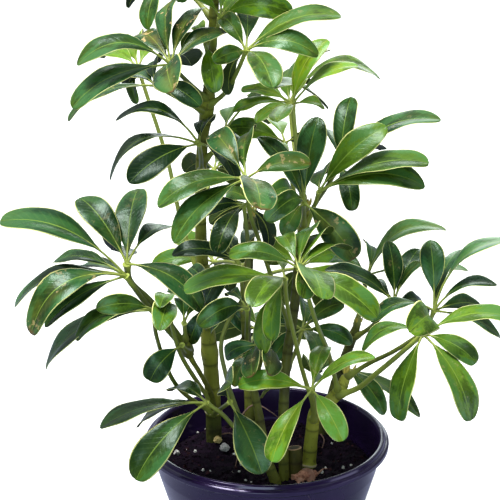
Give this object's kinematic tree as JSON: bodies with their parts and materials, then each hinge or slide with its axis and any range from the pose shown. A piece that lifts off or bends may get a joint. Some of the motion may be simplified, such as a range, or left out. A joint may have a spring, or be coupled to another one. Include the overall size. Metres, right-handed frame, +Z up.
{
  "type": "potted umbrella plant",
  "caption": "Dwarf umbrella plant with whorled glossy leaflets on several canes, growing in a round tapered nursery pot filled with potting mix.",
  "frame": {"origin": "centre of the pot's flat base, on the surface that it stands on", "axes": "+Z up along the pot's axis, +X to the viewer's right, +Y away from the viewer"},
  "size_m": [0.3097, 0.342, 0.4793],
  "materials": {
    "pot": "satin",
    "soil": "matte",
    "cane": "satin",
    "stub": "matte",
    "leaf": "satin",
    "young_leaf": "satin"
  },
  "bodies": {
    "root": {"pot": "pot", "soil": "soil", "trunk": "cane", "right_cane": "cane", "middle_cane": "cane", "front_cane": "cane", "back_cane": "cane", "far_cane": "cane", "cut_stub": "stub", "frond_back_1": "leaf", "frond_back_2": "leaf", "frond_back_3": "leaf", "frond_back_4": "leaf", "frond_back_5": "leaf", "frond_core_1": "leaf", "frond_core_2": "leaf", "frond_core_3": "leaf", "frond_core_4": "leaf", "frond_core_5": "leaf", "frond_crown_1": "leaf", "frond_crown_2": "leaf", "frond_crown_3": "leaf", "frond_front_1": "leaf", "frond_front_2": "leaf", "frond_front_3": "leaf", "frond_front_4": "leaf", "frond_left_1": "leaf", "frond_left_2": "leaf", "frond_left_3": "leaf", "frond_left_4": "leaf", "frond_left_5": "leaf", "frond_left_6": "leaf", "frond_left_7": "leaf", "frond_light_1": "young_leaf", "frond_low_1": "leaf", "frond_low_2": "leaf", "frond_low_3": "young_leaf", "frond_right_1": "leaf", "frond_right_10": "leaf", "frond_right_2": "leaf", "frond_right_3": "leaf", "frond_right_4": "leaf", "frond_right_5": "leaf", "frond_right_6": "leaf", "frond_right_7": "leaf", "frond_right_8": "leaf", "frond_right_9": "leaf", "frond_teal_1": "leaf", "frond_top_1": "leaf", "frond_top_2": "leaf", "frond_top_3": "leaf", "frond_top_4": "leaf", "frond_top_5": "leaf", "frond_top_6": "leaf", "frond_top_7": "leaf"}
  },
  "joints": []
}
